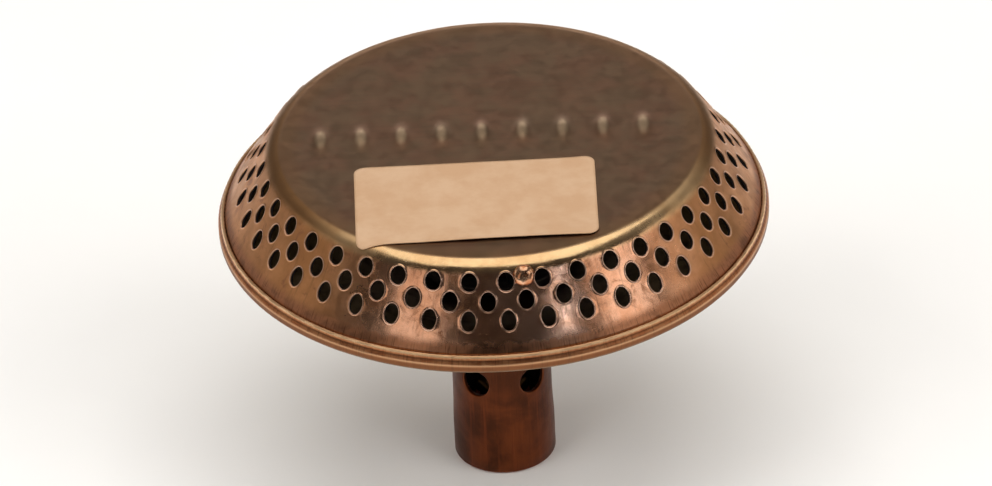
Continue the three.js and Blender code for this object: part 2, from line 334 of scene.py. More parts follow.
def cell_edge(row, centre):
    """The border of one port's cell as (azimuth, slide), clockwise seen from outside."""
    half = PITCH / 2
    upper = [centre - half + PITCH * i / CELL_STEPS for i in range(CELL_STEPS + 1)]
    edge = [(a, border(row, a, centre + half)) for a in upper]
    right_top = edge[-1][1]
    right_bottom = border(row + 1, centre + half, centre)
    sides = [i / CELL_SIDE_STEPS for i in range(1, CELL_SIDE_STEPS)]
    edge += [(centre + half, right_top + (right_bottom - right_top) * s) for s in sides]
    edge += [(a, border(row + 1, a, centre)) for a in reversed(upper)]
    edge += [(centre - half, right_bottom + (right_top - right_bottom) * s) for s in sides]
    return edge


def port_cell(surface, row, centre):
    height, width, length, _ = PORT_ROWS[row]
    middle = slide_at(height)
    to_degrees = 180 / math.pi / meridian(middle)[0]
    edge = cell_edge(row, centre)
    tilt_x, tilt_y = random.uniform(-0.25, 0.25), random.uniform(-0.25, 0.25)
    lift = random.uniform(0.75, 1.15)

    def ring(outward):
        places = []
        for azimuth, slide in edge:
            across, down = (azimuth - centre) / to_degrees, slide - middle
            angle = math.atan2(down / length, across / width)
            places.append((
                centre + to_degrees * (width / 2 + outward) * math.cos(angle),
                middle + (length / 2 + outward) * math.sin(angle),
                math.cos(angle),
                math.sin(angle),
            ))
        return places

    def row_of(places):
        return places + places[:1]

    base = ring(LIP_WIDTH)
    rows = [row_of([surface.corner(on_cap(a, s)) for a, s in edge])]
    for share in (0.4, 0.75):
        mixed = between(edge, [place[:2] for place in base], share)
        rows.append(row_of([surface.corner(on_cap(a, s)) for a, s in mixed]))
    for outward, rise, bright in LIP:
        lean = [1 + tilt_x * c + tilt_y * s for _, _, c, s in base]
        raised = [rise * lift * k if rise > 0 else rise for k in lean]
        ring_places = ring(outward)
        rows.append(row_of([
            surface.corner(on_cap(p[0], p[1], r), bright) for p, r in zip(ring_places, raised)
        ]))
    inner_base = ring(BURR_REACH)
    rows.append(row_of([surface.corner(on_cap(p[0], p[1], -SHEET, False)) for p in inner_base]))
    rows.append(row_of([surface.corner(on_cap(a, s, -SHEET, False)) for a, s in edge]))
    throat = len(rows) - 5
    for i, (outer, inner) in enumerate(zip(rows, rows[1:])):
        surface.band(outer, inner, 1 if i >= throat else 0)


def burner_cap(materials):
    surface = Surface()
    steps = PORTS * CELL_STEPS
    azimuths = [FIRST_PORT + PITCH * i / CELL_STEPS for i in range(steps + 1)]
    azimuths[-1] = azimuths[0]

    def row(slide, height=0.0, worked=True, turns=azimuths):
        # Painted highlight: the shoulder's rows get a brightness band for a highlight.
        bright = 0.8 * smooth_step(0.1, 1.0, slide) * (1 - smooth_step(1.9, 3.0, slide)) if worked else 0.0
        return [surface.corner(on_cap(a, slide, height, worked), bright) for a in turns]

    # Crown and shoulder.
    slides = [FIELD_TOP * (1 - i / 9) for i in range(10)]
    slides += [-CROWN_RADIUS * i / 56 for i in range(1, 56)]
    rows = [row(slide) for slide in slides]
    surface.bands(rows[::-1])
    tip = surface.corner(on_cap(0, -CROWN_RADIUS))
    surface.band([tip] * len(rows[-1]), rows[-1])

    # Flame ports.
    for index, (_, _, _, half_pitches) in enumerate(PORT_ROWS):
        for port in range(PORTS):
            port_cell(surface, index, FIRST_PORT + PITCH * (port + half_pitches / 2))

    # Below the ports the mesh is four times finer, for the draw marks.
    finer = 4
    fine = [FIRST_PORT + PITCH * i / (CELL_STEPS * finer) for i in range(steps * finer + 1)]
    fine[-1] = fine[0]
    upper, lower = row(FIELD_BOTTOM), row(FIELD_BOTTOM + 0.3, turns=fine)
    for i in range(steps):
        surface.face([upper[i], *lower[finer * i:finer * (i + 1) + 1], upper[i + 1]])
    last = lower
    for slide in (13.35, 13.65, 13.95, 14.3, 14.65, 15.0, 15.3, KNEE_SLIDE - 0.05):
        following = row(slide, turns=fine)
        surface.band(last, following)
        last = following

    # The band that goes straight down into the hem, and back up inside.
    band_radius = KNEE_RADIUS - 0.06

    def straight(radius, height):
        return [surface.corner(around(a, radius, height)) for a in azimuths]

    knee = straight(band_radius, KNEE_HEIGHT - 0.25)
    for i in range(steps):
        cell = last[finer * i:finer * (i + 1) + 1]
        surface.face([cell[0], knee[i], knee[i + 1], *reversed(cell[1:])])
    inside = band_radius - SHEET
    foot = cap_low.z
    down = [knee] + [straight(radius, height) for radius, height in (
        (band_radius, foot + 0.15), (band_radius - 0.15, foot), (inside + 0.15, foot), (inside, foot + 0.15),
        (inside, KNEE_HEIGHT - 0.5),
    )]
    for number, (upper, lower) in enumerate(zip(down, down[1:])):
        surface.band(upper, lower, min(number, 1))
    up = [down[-1]] + [row(slide, -SHEET, False) for slide in (15.0, 14.0, FIELD_BOTTOM)]
    surface.bands(up, 1)
    under = [row(slide, -SHEET, False) for slide in (FIELD_TOP, 1.6, 0.8, 0, -8, -18, -27)]
    surface.bands(under, 1)
    centre = surface.corner(on_cap(0, -CROWN_RADIUS, -SHEET, False))
    surface.band(under[-1], [centre] * len(under[-1]), 1)
    return surface.piece("cap_shell", materials, "burner_cap", "plated_steel")


# Pan, tube and the pieces inside

def burner_pan(materials):
    neck = TUBE_RADIUS + 0.3 + PAN_SHEET / 2
    floor = PAN_FLOOR + PAN_SHEET / 2
    middle = HEM_RADIUS - PAN_SHEET / 2
    rim_centre = RIM_RADIUS - HEM_RADIUS
    hem = arc(rim_centre, HEM_HEIGHT, middle, PAN_SLOPE - math.pi / 2, math.radians(15), 12)
    floor_edge = Vector((PAN_FLOOR_RADIUS, floor))
    hem_start = Vector(hem[0])
    swage = []
    for i in range(1, 27):
        share = i / 27
        place = floor_edge.lerp(hem_start, share)
        bead = 0.35 * math.exp(-((share - 0.36) / 0.035) ** 2)
        bead += 0.25 * math.exp(-((share - 0.82) / 0.03) ** 2)
        swage.append((place.x, place.y + bead))
    line = [(neck, pan_low.z), (neck, pan_low.z + 2.0)]
    line += arc(neck + 0.9, floor - 0.9, 0.9, math.pi, math.pi / 2, 6)
    line += [(11.0, floor), (12.8, floor), tuple(floor_edge)] + swage + hem
    lip = (KNEE_RADIUS + PAN_SHEET / 2, KNEE_HEIGHT + 0.05)
    hem_end = Vector(hem[-1])
    line += [tuple(hem_end.lerp(Vector(lip), i / 12)) for i in range(1, 13)]
    outline = sheet_outline(line, PAN_SHEET, 6)

    def shape(azimuth, radius, height):
        wall = smooth_step(40.0, 41.5, radius) * smooth_step(HEM_HEIGHT + 0.1, HEM_HEIGHT + 0.9, height)
        place = around(azimuth, radius, height)
        pleat = 0.035 * wall * math.cos(math.radians(azimuth) * 240)
        wave = 0.05 * smooth_step(36, 41, radius) * rough(place, 9.0, 2.0)
        edge = smooth_step(KNEE_HEIGHT - 0.5, KNEE_HEIGHT, height) * smooth_step(40.0, 41.0, radius)
        ragged = 0.04 * edge * (rough(place, 1.6, 4.0) + 0.5 * rough(place, 5.0, 6.0))
        groove = 0.1 * wall * math.exp(-((height - KNEE_HEIGHT + 0.62) / 0.2) ** 2)
        moved = radius + pleat + wave - (groove if radius > lip[0] else 0.0)
        return min(moved, pan_high.x - 0.01), height + ragged

    def bright(azimuth, radius, height):
        if radius < 40:
            return 0.0
        # Brightness: the bare cut edge with a painted highlight, a painted highlight along the hem's bead, and
        # painted shade, as negative brightness, in the groove under the cut edge.
        cut_edge_and_highlight = 0.8 * smooth_step(KNEE_HEIGHT - 0.34, KNEE_HEIGHT - 0.22, height)
        line = 0.35 * math.exp(-((height - KNEE_HEIGHT + 1.3) / 0.16) ** 2)
        groove_shade = 0.75 * math.exp(-((height - KNEE_HEIGHT + 0.6) / 0.17) ** 2)
        return cut_edge_and_highlight + line - groove_shade

    names = ("pan_shell", "burner_pan", "plated_steel")
    return turned(names, materials, outline, 720, shape, bright)


def mixing_tube(materials):
    """The tube's wall is a grid in azimuth and height, with a round drilled hole in each of five cells."""
    surface = Surface()
    cell_steps, side_steps = 32, 12
    steps = AIR_PORTS * cell_steps
    pitch = 360 / AIR_PORTS
    low, high = AIR_PORT_HEIGHT - 4.4, AIR_PORT_HEIGHT + 4.4
    azimuths = [AIR_PORT_AZIMUTH - pitch / 2 + pitch * i / cell_steps for i in range(steps + 1)]
    azimuths[-1] = azimuths[0]

    def wobble(place):
        return 0.05 * rough(place, 6.0, 8.0) + 0.015 * rough(place, 1.7, 11.0)

    def corner(azimuth, radius, height, bright=0.0):
        place = around(azimuth, radius, height)
        soft = smooth_step(0.2, 3.0, height) if radius > SOCKET_RADIUS - 1.2 else 0.0
        return surface.corner(place + around(azimuth, wobble(place) * soft, 0), bright)

    def row(radius, height, bright=0.0):
        return [corner(a, radius, height, bright) for a in azimuths]

    inner = TUBE_RADIUS - TUBE_WALL
    socket_inner = SOCKET_RADIUS - TUBE_WALL
    floor = tube_low.z
    outside = [(socket_inner + 0.2, 0), (SOCKET_RADIUS - 0.2, 0), (SOCKET_RADIUS - 0.06, 0.08)]
    outside += [(SOCKET_RADIUS, rise) for rise in (0.25, 2, 4, 5.2)]
    outside += [(SOCKET_RADIUS - 0.02, 6.6), (TUBE_RADIUS + 0.05, 9), (TUBE_RADIUS, 11.2)]
    rows = [row(r, floor + rise, 0.7 if rise < 0.2 else 0.0) for r, rise in outside]
    surface.bands([row(TUBE_RADIUS, low)] + rows[::-1])

    bead = arc(TUBE_RADIUS - TUBE_WALL / 2, floor + 30.4, 1.2 + TUBE_WALL / 2, -1.2, 1.2, 12)
    mouth = [(TUBE_RADIUS, high + i * 1.3) for i in range(6)]
    mouth += [(TUBE_RADIUS, floor + 28.5), (TUBE_RADIUS + 0.08, floor + 28.85)] + bead
    mouth += [(TUBE_RADIUS + 0.08, floor + 31.95), (TUBE_RADIUS, floor + 32.3), (TUBE_RADIUS, floor + 35)]
    mouth += [(TUBE_RADIUS, floor + 37.6), (TUBE_RADIUS + 0.25, floor + 38.2)]
    mouth += [(TUBE_RADIUS + 0.9, floor + 38.55), (tube_high.x - 0.1, floor + 38.6), (tube_high.x, floor + 38.75)]
    mouth += [(tube_high.x, floor + 39.2), (tube_high.x - 0.15, floor + 39.38), (inner + 1.3, floor + 39.38)]
    mouth += [(inner + 0.45, floor + 39.1), (inner, floor + 38.3), (inner, floor + 35), (inner, floor + 30)]
    mouth += [(inner, high + 3), (inner, high)]
    rows = [row(r, h) for r, h in mouth]
    surface.bands(rows[::-1])
    bore = [(inner, low), (inner, floor + 11.2), (socket_inner, floor + 5.4), (socket_inner, floor + 0.3)]
    bore += [(socket_inner + 0.06, floor + 0.08), (socket_inner + 0.2, floor)]
    rows = [row(r, h) for r, h in bore]
    surface.bands(rows[::-1])

    for index in range(AIR_PORTS):
        centre = AIR_PORT_AZIMUTH + pitch * index
        start = centre - pitch / 2
        across = [start + pitch * i / cell_steps for i in range(cell_steps + 1)]
        up = [high + (low - high) * i / side_steps for i in range(1, side_steps)]
        edge = [(a, high) for a in across] + [(across[-1], h) for h in up]
        edge += [(a, low) for a in reversed(across)] + [(across[0], h) for h in reversed(up)]

        def hole(radius, wall):
            places = []
            for azimuth, height in edge:
                side = (azimuth - centre) / pitch * 9.6
                angle = math.atan2(height - AIR_PORT_HEIGHT, side)
                turn = math.degrees(math.asin(radius * math.cos(angle) / wall))
                places.append((centre + turn, AIR_PORT_HEIGHT + radius * math.sin(angle)))
            return places

        def ring_of(places, wall, bright=0.0):
            ring = [corner(a, wall, h, bright) for a, h in places]
            return ring + ring[:1]

        outer = hole(AIR_PORT_RADIUS + 0.18, TUBE_RADIUS)
        rings = []
        for share in (0, 0.35, 0.65, 0.88, 1):
            rings.append(ring_of(between(edge, outer, share), TUBE_RADIUS))
        rings.append(ring_of(hole(AIR_PORT_RADIUS + 0.04, TUBE_RADIUS), TUBE_RADIUS - 0.05, 0.2))
        rings.append(ring_of(hole(AIR_PORT_RADIUS, TUBE_RADIUS), TUBE_RADIUS - 0.18))
        rings.append(ring_of(hole(AIR_PORT_RADIUS, inner), inner + 0.1))
        inner_hole = hole(AIR_PORT_RADIUS + 0.1, inner)
        for share in (1, 0.5, 0):
            rings.append(ring_of(between(edge, inner_hole, share), inner))
        surface.bands(rings)
    for number, face in enumerate(surface.faces):
        middle = sum((surface.points[c] for c in face), Vector()) / len(face) / MM
        if middle.xy.length < inner + 0.25 and middle.z > floor + 8:
            surface.slots[number] = 1
    return surface.piece("copper_mixing_tube", materials, "mixing_tube", "copper_tube")


def seat_ring(materials):
    bore = TUBE_RADIUS + 0.3
    low, high, outer = seat_low.z, seat_high.z, seat_high.x
    outline = [(bore + 0.1, low), (outer - 0.2, low), (outer - 0.05, low + 0.05), (outer, low + 0.2)]
    outline += [(outer, high - 0.3), (outer - 0.08, high - 0.08), (outer - 0.3, high)]
    outline += [(10.6, high), (10.4, high - 0.08), (10.2, high), (bore + 0.95, high), (bore + 0.85, high - 0.05)]
    outline += [(bore, high - 0.9), (bore, low + 0.1)]
    names = ("tube_seat", "tube_seat_ring", "plain_steel")
    return turned(names, materials, outline, 144)


def woven_gauze(materials):
    """Wires that pass over and under each other, held in a rolled ring."""
    surface = Surface()
    low, high, outer = gauze_low.z, gauze_high.z, gauze_high.x
    middle = (low + high) / 2
    section = arc(outer - 0.45, middle, 1.0, 0, 2 * math.pi, 16)[:-1]
    section = [(outer - 0.45 + (r - outer + 0.45) * 0.44, middle + (h - middle) * 0.58) for r, h in section]
    revolve(surface, section, 96)
    wire, pitch, sides = 0.17, 1.05, 8
    reach = outer - 0.5
    for index in range(-5, 6):
        offset = index * pitch
        half = math.sqrt(reach * reach - offset * offset)
        for lengthwise in (0, 1):
            rings = []
            steps = max(8, round(half * 8))
            for i in range(steps + 1):
                along = -half + 2 * half * i / steps
                lift = wire * math.cos(math.pi * along / pitch) * (1 if (index + lengthwise) % 2 else -1)
                ring = []
                for k in range(sides):
                    turn = 2 * math.pi * k / sides
                    side, up = wire * math.cos(turn), middle + lift + wire * math.sin(turn)
                    across = offset + side
                    place = (across, along, up) if lengthwise else (along, -across, up)
                    ring.append(surface.corner(Vector(place)))
                rings.append(ring + ring[:1])
            surface.bands(rings[::-1])
            surface.face(rings[0][:-1])
            surface.face(rings[-1][:-1][::-1])
    return surface.piece("woven_flashback_gauze", materials, "flashback_gauze", "brass_wire")


def jet_holder(materials):
    """A turned brass ring with an M10 thread below its web and a groove round its outside."""
    low, high, outer = holder_low.z, holder_high.z, holder_high.x
    web = high - 3.0
    thread = 4.75
    through = 2.8
    outline = [(thread + 0.35, low), (outer - 0.3, low), (outer - 0.08, low + 0.1), (outer, low + 0.35)]
    outline += [(outer, low + 1.2), (outer - 0.25, low + 1.4), (outer - 0.25, low + 1.9), (outer, low + 2.1)]
    outline += [(outer, high - 0.6), (outer - 0.1, high - 0.2), (outer - 0.4, high), (through + 0.3, high)]
    outline += [(through, high - 0.25), (through, web), (thread, web)]
    turns = [(thread, web - 0.4 - i * 0.125) for i in range(int((web - low - 0.8) / 0.125))]
    outline += turns + [(thread, low + 0.35)]

    def shape(azimuth, radius, height):
        if abs(radius - thread) > 0.01 or height > web - 0.1 or height < low + 0.4:
            return radius, height
        phase = (height - azimuth / 360) % 1.0
        return radius + 0.55 * (1 - abs(2 * phase - 1)) - 0.1, height

    names = ("brass_jet_holder", "jet_holder", "turned_brass")
    return turned(names, materials, outline, 144, shape)


def gas_jet(materials):
    """A brass jet with a chamfered hexagon head, a threaded shank and a coned tip."""
    low, high = jet_low.z, jet_high.z
    head_low, head_high = low + 5.2, low + 7.2
    flat, corner_radius = 3.5, 4.04
    outline = [(1.3, low), (2.2, low), (2.5, low + 0.3)]
    outline += [(2.5, low + 0.4 + i * 0.1) for i in range(40)] + [(2.4, head_low - 0.2), (2.4, head_low)]
    outline += [(flat, head_low), (corner_radius, head_low + 0.28), (corner_radius, head_high - 0.28)]
    outline += [(flat, head_high), (2.7, head_high), (2.6, head_high + 0.05), (1.35, high - 0.05), (1.25, high)]
    outline += [(0.36, high), (0.3, high - 0.08), (0.3, low + 7.0), (1.3, low + 6.0)]

    def shape(azimuth, radius, height):
        if radius > 2.55:
            turn = math.radians((azimuth + 30) % 60 - 30)
            return min(radius, flat / math.cos(turn)), height
        if abs(radius - 2.5) < 0.01 and height > low + 0.35:
            phase = (height / 0.75 - azimuth / 360) % 1.0
            return radius - 0.32 * (1 - abs(2 * phase - 1)), height
        return radius, height

    names = ("brass_gas_jet", "gas_jet", "turned_brass")
    return turned(names, materials, outline, 144, shape)


def jet_washer(materials):
    low, high, outer = washer_low.z, washer_high.z, washer_high.x
    outline = [(2.9, low), (outer - 0.08, low), (outer, low + 0.1), (outer, high - 0.1), (outer - 0.08, high)]
    outline += [(2.9, high), (2.8, high - 0.1), (2.8, low + 0.1)]

    def shape(azimuth, radius, height):
        return radius + 0.04 * rough(around(azimuth, radius, height), 1.2, 6.0) - 0.04, height

    names = ("fibre_jet_washer", "jet_washer", "fibre")
    return turned(names, materials, outline, 96, shape)


def jet_filter(materials):
    """A plug of sintered grains."""
    low, high, outer = filter_low.z, filter_high.z, 1.0
    side = [(outer, low + 0.1 + (high - low - 0.2) * i / 24) for i in range(25)]
    outline = [(0.0, low), (0.3, low), (0.6, low), (0.88, low)] + side
    outline += [(0.88, high), (0.6, high), (0.3, high), (0.0, high)]

    def shape(azimuth, radius, height):
        grain = abs(rough(around(azimuth, radius, height), 0.28, 3.0))
        return radius * (1 - 0.1 * grain), height

    names = ("sintered_jet_filter", "jet_filter", "sintered_bronze")
    return turned(names, materials, outline, 48, shape, closed=False)


def domed_rivet(materials):
    """A hammered copper rivet: a lumpy dome outside, a shank and an upset tail inside."""
    tail_top, tail_bottom = -1.8, -2.4
    outline = [(0.0, tail_bottom), (0.9, tail_bottom), (1.2, tail_bottom + 0.1), (1.3, tail_bottom + 0.3)]
    outline += [(1.25, tail_top - 0.05), (0.85, tail_top), (0.85, 0.13), (1.3, 0.13), (1.5, 0.16), (1.6, 0.22)]
    outline += [(1.62, 0.3)]
    angles = [math.pi / 2 * k / 14 for k in range(1, 14)]
    outline += [(1.6 * math.cos(a), 0.3 + 0.82 * math.sin(a)) for a in angles]
    outline += [(0.0, 1.12)]

    def shape(turn, radius, height):
        if height < 0.2:
            return radius, height
        place = around(turn, radius, height)
        lump = 0.11 * rough(place, 1.1, 3.0) + 0.03 * rough(place, 0.5, 5.0)
        return radius * (1 + 0.6 * lump), height + lump * smooth_step(0.2, 0.6, height) - 0.04

    surface = Surface()
    revolve(surface, outline, 48, shape, lambda turn, radius, height: 0.6, closed=False)
    radius, level = TOP_ROW_RADIUS + SPREAD * (TOP_ROW_HEIGHT - RIVET_HEIGHT), RIVET_HEIGHT
    turn = Matrix.Rotation(math.radians(RIVET_AZIMUTH), 4, "Z")
    lean = Matrix.Rotation(math.pi / 2 - TILT, 4, "X")
    place = turn @ Matrix.Translation(Vector((0, -radius, level)) * MM) @ lean
    surface.points = [place @ p for p in surface.points]
    return surface.piece("domed_rivet", materials, "baffle_rivet", "bright_copper")


# The label

def paper_label(materials):
    """A blank label. Its front left corner is pressed over the shoulder, and its front edge has lifted."""
    surface = Surface()
    across, deep = 92, 54
    corner = 1.7
    thickness = 0.13
    left, right, front, back = label_low.x, label_high.x, label_low.y, label_high.y
    middle_x, middle_y = (left + right) / 2, (front + back) / 2
    half_x, half_y = (right - left) / 2, (back - front) / 2

    def outline(u, v):
        """A square grid in -1..1, pulled onto a rectangle with rounded corners."""
        x, y = u * half_x, v * half_y
        over_x, over_y = abs(x) - (half_x - corner), abs(y) - (half_y - corner)
        if over_x > 0 and over_y > 0:
            far, reach = max(over_x, over_y), math.hypot(over_x, over_y)
            x = math.copysign(half_x - corner + over_x * far / reach, x)
            y = math.copysign(half_y - corner + over_y * far / reach, y)
        return middle_x + x, middle_y + y

    def height(x, y):
        radius = math.hypot(x, y)
        past = radius - CROWN_RADIUS
        drop = 0.0
        if past > 0:
            angle = math.asin(min(0.95, past / SHOULDER))
            drop = SHOULDER * (1 - math.cos(angle))
        edge = 1 - smooth_step(front, front + 4.5, y)
        lifted = 0.2 * edge * smooth_step(left + 9, left + 19, x)
        lifted *= 1 - 0.55 * smooth_step(right - 9, right, x)
        right_curl = 0.12 * smooth_step(right - 4.5, right, x) * smooth_step(front + 2, back, y)
        ripple = 0.04 * rough((x, y, 0), 6.0, 2.0) + 0.015 * rough((x, y, 0), 2.2, 5.0)
        crease = 0.05 * math.exp(-((y - middle_y - 1.0 - 0.1 * x) / 0.35) ** 2) * smooth_step(6, 14, x)
        raised = min(0.24, max(0.0, lifted + right_curl + ripple + crease + 0.04))
        return CROWN_HEIGHT + 0.09 + raised - drop

    grids = []
    for top in (1, 0):
        grid = []
        for j in range(deep + 1):
            row = []
            for i in range(across + 1):
                x, y = outline(2 * i / across - 1, 2 * j / deep - 1)
                row.append(surface.corner((x, y, height(x, y) + thickness * top)))
            grid.append(row)
        grids.append(grid)
    upper, lower = grids
    surface.bands(upper[::-1])
    surface.bands(lower)
    surface.band(upper[0], lower[0])
    surface.band(lower[-1], upper[-1])
    surface.band([row[0] for row in lower], [row[0] for row in upper])
    surface.band([row[-1] for row in upper], [row[-1] for row in lower])
    return surface.piece("blank_paper_label", materials, "paper_label", "label_paper")


# Materials

def rgb(red, green, blue):
    """A colour given as the screen shows it, 0 to 255."""
    def straight(value):
        value /= 255
        return value / 12.92 if value <= 0.04045 else ((value + 0.055) / 1.055) ** 2.4
    return (straight(red), straight(green), straight(blue), 1.0)


class Paint:
    """A material with a Principled shader, and short calls for the nodes that feed it."""

    def __init__(self, name, **sockets):
        self.material = bpy.data.materials.new(name)
        self.material.use_nodes = True
        self.tree = self.material.node_tree
        self.shader = self.tree.nodes["Principled BSDF"]
        for socket, value in sockets.items():
            self.shader.inputs[socket.replace("_", " ")].default_value = value
        place = self.tree.nodes.new("ShaderNodeTexCoord").outputs["Object"]
        self.place = self.vector("SCALE", place, Scale=1 / MM)
        flat = self.vector("MULTIPLY", self.place, (1, 1, 0))
        self.direction = self.vector("NORMALIZE", flat)
        self.radius = self.node("ShaderNodeVectorMath", {0: flat}, operation="LENGTH").outputs["Value"]
        parts = self.node("ShaderNodeSeparateXYZ", {0: self.place})
        self.x, self.y, self.height = parts.outputs

    def node(self, kind, inputs, **settings):
        made = self.tree.nodes.new(kind)
        for key, value in settings.items():
            setattr(made, key, value)
        for key, value in inputs.items():
            if isinstance(value, bpy.types.NodeSocket):
                self.tree.links.new(value, made.inputs[key])
            else:
                made.inputs[key].default_value = value
        return made

    def vector(self, operation, first, second=None, **inputs):
        sockets = {0: first, **inputs}
        if second is not None:
            sockets[1] = second
        return self.node("ShaderNodeVectorMath", sockets, operation=operation).outputs["Vector"]

    def math(self, operation, first, second=0.0):
        return self.node("ShaderNodeMath", {0: first, 1: second}, operation=operation).outputs["Value"]

    def plus(self, first, second):
        return self.math("ADD", first, second)

    def times(self, first, second):
        return self.math("MULTIPLY", first, second)

    def noise(self, scale, detail=3.0, roughness=0.6, place=None, distortion=0.0):
        inputs = {
            "Vector": place or self.place, "Scale": scale, "Detail": detail,
            "Roughness": roughness, "Distortion": distortion,
        }
        return self.node("ShaderNodeTexNoise", inputs).outputs["Fac"]

    def span(self, value, low, high, to_low=0.0, to_high=1.0):
        inputs = {"Value": value, "From Min": low, "From Max": high, "To Min": to_low, "To Max": to_high}
        made = self.node("ShaderNodeMapRange", inputs, interpolation_type="SMOOTHSTEP")
        return made.outputs["Result"]

    def mix(self, share, first, second):
        return self.node("ShaderNodeMix", {0: share, 6: first, 7: second}, data_type="RGBA").outputs[2]

    def lay(self, colour, other, noise, low, high, share=1.0):
        """Another colour laid over a colour, by so much of it, where a noise rises from low to high."""
        return self.mix(self.span(noise, low, high, 0.0, share), colour, other)

    def streaks(self, around_scale, along_scale, detail=3.0, roughness=0.6):
        """Marks that run straight out from the axis: fine round it, long along it."""
        turned = self.vector("SCALE", self.direction, Scale=around_scale)
        rise = self.node("ShaderNodeCombineXYZ", {2: self.times(self.height, along_scale)})
        return self.noise(1.0, detail, roughness, self.vector("ADD", turned, rise.outputs[0]))

    def rings(self, around_scale, along_scale, detail=3.0, roughness=0.6):
        """Marks that run round the axis, as a lathe or a press leaves them."""
        turned = self.vector("SCALE", self.direction, Scale=around_scale)
        rise = self.node("ShaderNodeCombineXYZ", {
            0: self.times(self.radius, along_scale),
            2: self.times(self.height, along_scale),
        })
        return self.noise(1.0, detail, roughness, self.vector("ADD", turned, rise.outputs[0]))

    def facing(self, azimuth):
        """The cosine of the angle round the axis from an azimuth."""
        inputs = {0: self.direction, 1: around(azimuth, 1, 0)}
        return self.node("ShaderNodeVectorMath", inputs, operation="DOT_PRODUCT").outputs["Value"]

    def bright(self):
        return self.node("ShaderNodeAttribute", {}, attribute_name="bright").outputs["Fac"]

    def finish(self, colour, roughness, bumps):
        self.tree.links.new(colour, self.shader.inputs["Base Color"])
        self.tree.links.new(roughness, self.shader.inputs["Roughness"])
        normal = None
        for height, distance, strength in bumps:
            inputs = {"Height": height, "Distance": distance * MM, "Strength": strength}
            if normal is not None:
                inputs["Normal"] = normal
            normal = self.node("ShaderNodeBump", inputs).outputs["Normal"]
        self.tree.links.new(normal, self.shader.inputs["Normal"])
        return self.material


def tarnished_plate():
    """The cap: one plated steel pressing; brown on the crown and copper on the skirt, partly painted reflections of
    a dim ceiling and of warm surroundings; a painted highlight on the shoulder.
    """
    paint = Paint("tarnished_plate", Metallic=1.0)
    bright = paint.bright()
    crown = paint.span(paint.height, CROWN_HEIGHT - 0.12, CROWN_HEIGHT - 0.01)
    shoulder = paint.span(paint.height, CONE_TOP_HEIGHT - 0.3, CONE_TOP_HEIGHT + 0.9)
    hem = paint.span(paint.height, KNEE_HEIGHT + 2.2, KNEE_HEIGHT + 0.7)

    clouds = paint.noise(0.16, 4.0, 0.6)
    patches = paint.noise(0.42, 5.0, 0.62, distortion=0.6)
    specks = paint.noise(2.6, 4.0, 0.7)
    radial = paint.streaks(46.0, 0.16, 4.0, 0.65)
    fine_radial = paint.streaks(190.0, 0.35)
    scratches = paint.rings(3.0, 4.5)

    # Painted reflection: the skirt's front gets a lighter copper than its sides, besides a smoother finish.
    polish_and_front_sheen = paint.span(paint.facing(6), 0.6, 0.9)
    polish_and_front_sheen = paint.times(polish_and_front_sheen, paint.span(patches, 0.2, 0.45, 0.7, 1.0))
    # The front of the shoulder, where its painted highlight stands.
    shoulder_lit_front = paint.span(paint.facing(12), 0.3, 0.75)
    dull = paint.lay(rgb(214, 154, 106), rgb(190, 134, 88), clouds, 0.35, 0.65)
    front_sheen_copper = paint.lay(rgb(238, 184, 152), rgb(216, 156, 120), clouds, 0.35, 0.65)
    copper = paint.mix(polish_and_front_sheen, dull, front_sheen_copper)
    copper = paint.lay(copper, rgb(172, 118, 86), patches, 0.55, 0.74)
    copper = paint.lay(copper, rgb(120, 82, 62), radial, 0.56, 0.8, 0.6)
    stained = paint.lay(rgb(150, 104, 78), rgb(188, 130, 96), patches, 0.3, 0.6)
    stained = paint.lay(stained, rgb(96, 66, 52), fine_radial, 0.5, 0.72, 0.7)
    colour = paint.mix(hem, copper, stained)
    # Painted highlight: the shoulder is light gold at the front and browner round the sides.
    shoulder_highlight = paint.lay(rgb(246, 208, 158), rgb(226, 184, 134), clouds, 0.4, 0.7)
    shoulder_highlight = paint.mix(shoulder_lit_front, rgb(172, 128, 86), shoulder_highlight)
    colour = paint.mix(shoulder, colour, shoulder_highlight)

    grain_place = paint.vector("MULTIPLY", paint.place, (0.09, 1.6, 1.0))
    grain = paint.noise(1.0, 4.0, 0.65, grain_place)
    # Crown tone: tarnish, given a greyer, darker brown as a painted reflection of a dim ceiling.
    top = paint.lay(rgb(158, 128, 101), rgb(163, 124, 98), clouds, 0.36, 0.64)
    top = paint.lay(top, rgb(136, 112, 94), grain, 0.45, 0.75, 0.25)
    top = paint.lay(top, rgb(110, 88, 72), specks, 0.66, 0.8, 0.25)
    edge = paint.span(paint.radius, CROWN_RADIUS - 3.4, CROWN_RADIUS - 0.4)
    top = paint.mix(paint.times(edge, 0.55), top, rgb(176, 134, 96))
    colour = paint.mix(crown, colour, top)
    # Painted highlight: the raised tops of each pip are lighter.
    pip_top_highlight = paint.span(paint.height, CROWN_HEIGHT + 0.12, CROWN_HEIGHT + 0.42)
    colour = paint.mix(pip_top_highlight, colour, rgb(214, 184, 150))
    # Bare burr metal on the lip of each port, lightened further as a painted highlight.
    lip_bare_and_highlight = paint.times(bright, paint.math("SUBTRACT", 1.0, shoulder))
    colour = paint.mix(paint.times(lip_bare_and_highlight, 0.4), colour, rgb(250, 222, 206))

    roughness = paint.span(patches, 0.3, 0.7, 0.13, 0.25)
    tarnish = paint.math("SUBTRACT", 1.0, paint.math("MAXIMUM", polish_and_front_sheen, crown))
    roughness = paint.plus(roughness, paint.times(tarnish, 0.22))
    roughness = paint.plus(roughness, paint.times(crown, 0.16))
    roughness = paint.plus(roughness, paint.times(hem, 0.12))
    roughness = paint.plus(roughness, paint.span(specks, 0.55, 0.8, 0.0, 0.1))
    return paint.finish(colour, roughness, [
        (radial, 0.012, 0.5), (fine_radial, 0.005, 0.5), (scratches, 0.004, 0.4), (grain, 0.005, 0.3),
        (specks, 0.003, 0.3),
    ])


